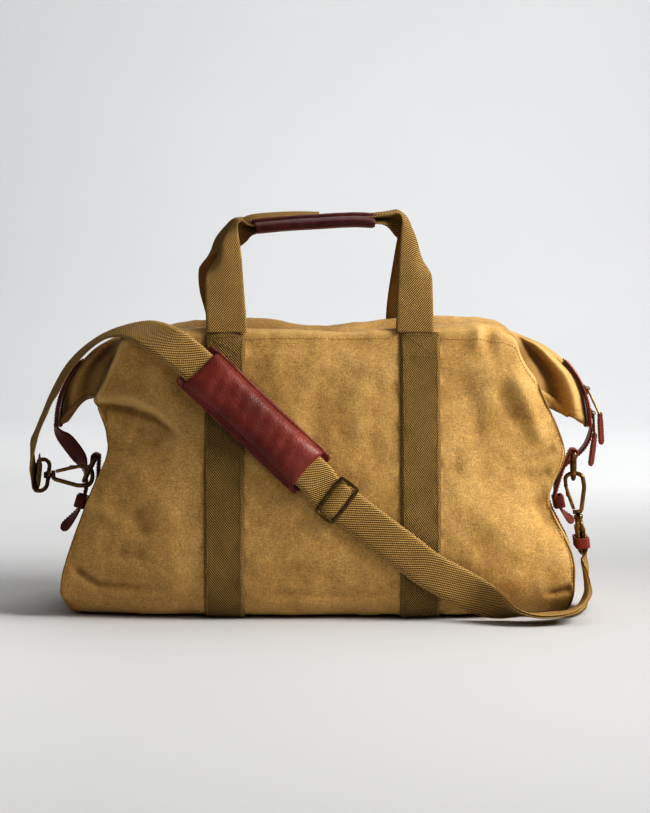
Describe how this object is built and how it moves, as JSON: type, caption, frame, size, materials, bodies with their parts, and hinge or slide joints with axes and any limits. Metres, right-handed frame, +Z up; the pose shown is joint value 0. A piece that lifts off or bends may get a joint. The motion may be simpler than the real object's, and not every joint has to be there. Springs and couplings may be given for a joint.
{
  "type": "duffel bag",
  "caption": "Canvas weekend duffel with a top zip, folded-down wing ends, webbing carry handles with leather grips and a clip-on padded shoulder strap.",
  "frame": {"origin": "centre of the base, on the surface the bag stands on", "axes": "+Z up, +X along the bag towards the zip pulls, -Y the front, where the shoulder strap hangs across"},
  "size_m": [0.6003, 0.295, 0.4118],
  "materials": {
    "canvas": "waxed cotton canvas",
    "board": "matt board",
    "lining": "plain woven",
    "zip_tape": "woven tape",
    "antique_brass": "aged, satin",
    "webbing": "twill woven",
    "leather": "waxed, semi-gloss"
  },
  "bodies": {
    "bag": {"front_panel": "canvas", "rear_panel": "canvas", "end_gusset_left": "canvas", "end_gusset_right": "canvas", "base_panel": "canvas", "base_board": "board", "lining_front": "lining", "lining_rear": "lining", "zip_tape": "zip_tape", "zip_coil": "antique_brass", "zip_facing_left": "leather", "zip_facing_right": "leather", "closing_strap_left": "leather", "closing_strap_right": "leather", "end_strip_left": "leather", "end_strip_right": "leather", "strap_keeper_left": "leather", "strap_keeper_right": "leather", "band_front_left": "webbing", "band_front_right": "webbing", "band_rear_left": "webbing", "band_rear_right": "webbing", "ring_tab_left": "leather", "ring_tab_right": "leather", "shoulder_strap": "webbing", "webbing_keeper": "leather"},
    "handle_front": {"handle_webbing_front": "webbing", "handle_grip_front": "leather"},
    "handle_rear": {"handle_webbing_rear": "webbing", "handle_grip_rear": "leather"},
    "slider_upper": {"zip_slider_upper": "antique_brass"},
    "slider_lower": {"zip_slider_lower": "antique_brass"},
    "pull_upper": {"zip_pull_upper": "antique_brass", "zip_tab_upper": "leather"},
    "pull_lower": {"zip_pull_lower": "antique_brass", "zip_tab_lower": "leather"},
    "ring_left": {"d_ring_left": "antique_brass"},
    "ring_right": {"d_ring_right": "antique_brass"},
    "loop_left": {"swivel_loop_left": "antique_brass"},
    "loop_right": {"swivel_loop_right": "antique_brass"},
    "snap_left": {"hook_left": "antique_brass"},
    "snap_right": {"hook_right": "antique_brass"},
    "gate_left": {"hook_gate_left": "antique_brass"},
    "gate_right": {"hook_gate_right": "antique_brass"},
    "pad": {"shoulder_pad": "leather", "pad_backing": "leather"},
    "adjuster": {"slide_adjuster": "antique_brass"}
  },
  "joints": [
    {"name": "handle_front_fold", "type": "hinge", "parent": "bag", "child": "handle_front", "pos_m": [0, -0.088, 0.292], "axis": [1, 0, 0], "range_deg": [0, 110]},
    {"name": "handle_rear_fold", "type": "hinge", "parent": "bag", "child": "handle_rear", "pos_m": [0, 0.088, 0.297], "axis": [-1, 0, 0], "range_deg": [0, 75]},
    {"name": "zip_upper_open", "type": "hinge", "parent": "bag", "child": "slider_upper", "pos_m": [0.183, 0, 0.19], "axis": [0, -1, 0], "range_deg": [0, 50]},
    {"name": "zip_lower_open", "type": "hinge", "parent": "bag", "child": "slider_lower", "pos_m": [0.183, 0, 0.19], "axis": [0, -1, 0], "range_deg": [0, 3.5]},
    {"name": "pull_upper_swing", "type": "hinge", "parent": "slider_upper", "child": "pull_upper", "pos_m": [0.27804, 0, 0.22648], "axis": [0, -1, 0], "range_deg": [0, 75]},
    {"name": "pull_lower_swing", "type": "hinge", "parent": "slider_lower", "child": "pull_lower", "pos_m": [0.28424, 0, 0.20064], "axis": [0, -1, 0], "range_deg": [0, 75]},
    {"name": "ring_left_swing", "type": "hinge", "parent": "bag", "child": "ring_left", "pos_m": [-0.238, -0.017, 0.156], "axis": [0, 1, 0], "range_deg": [-0.4, 6]},
    {"name": "ring_right_swing", "type": "hinge", "parent": "bag", "child": "ring_right", "pos_m": [0.262, -0.017, 0.161], "axis": [0, 1, 0], "range_deg": [-3, 3]},
    {"name": "loop_left_swing", "type": "hinge", "parent": "bag", "child": "loop_left", "pos_m": [-0.29969, -0.017, 0.13716], "axis": [0.0132, 0.7506, 0.6606], "range_deg": [-0.4, 1.5]},
    {"name": "loop_right_swing", "type": "hinge", "parent": "bag", "child": "loop_right", "pos_m": [0.26918, -0.017, 0.08122], "axis": [0, -1, 0], "range_deg": [-1.5, 1.5]},
    {"name": "snap_left_swivel", "type": "hinge", "parent": "loop_left", "child": "snap_left", "pos_m": [-0.28749, -0.017, 0.13692], "axis": [-0.9998, 0, 0.02], "range_deg": [-15, 15]},
    {"name": "snap_right_swivel", "type": "hinge", "parent": "loop_right", "child": "snap_right", "pos_m": [0.26772, -0.017, 0.09333], "axis": [0.12, 0, -0.9928], "range_deg": [-15, 15]},
    {"name": "gate_left_open", "type": "hinge", "parent": "snap_left", "child": "gate_left", "pos_m": [-0.27629, -0.017, 0.1421], "axis": [0, 1, 0], "range_deg": [0, 20], "stiffness_Nm_per_rad": 0.02, "springref_deg": -17.19},
    {"name": "gate_right_open", "type": "hinge", "parent": "snap_right", "child": "gate_right", "pos_m": [0.26161, -0.01455, 0.10378], "axis": [0.4501, 0.8913, 0.0544], "range_deg": [0, 20], "stiffness_Nm_per_rad": 0.02, "springref_deg": -17.19},
    {"name": "pad_slide", "type": "slide", "parent": "bag", "child": "pad", "axis": [0.725, -0.1593, -0.6701], "range_m": [-0.004, 0.004]},
    {"name": "adjuster_slide", "type": "slide", "parent": "bag", "child": "adjuster", "axis": [0.7961, 0, -0.6051], "range_m": [0, 0.07]}
  ]
}
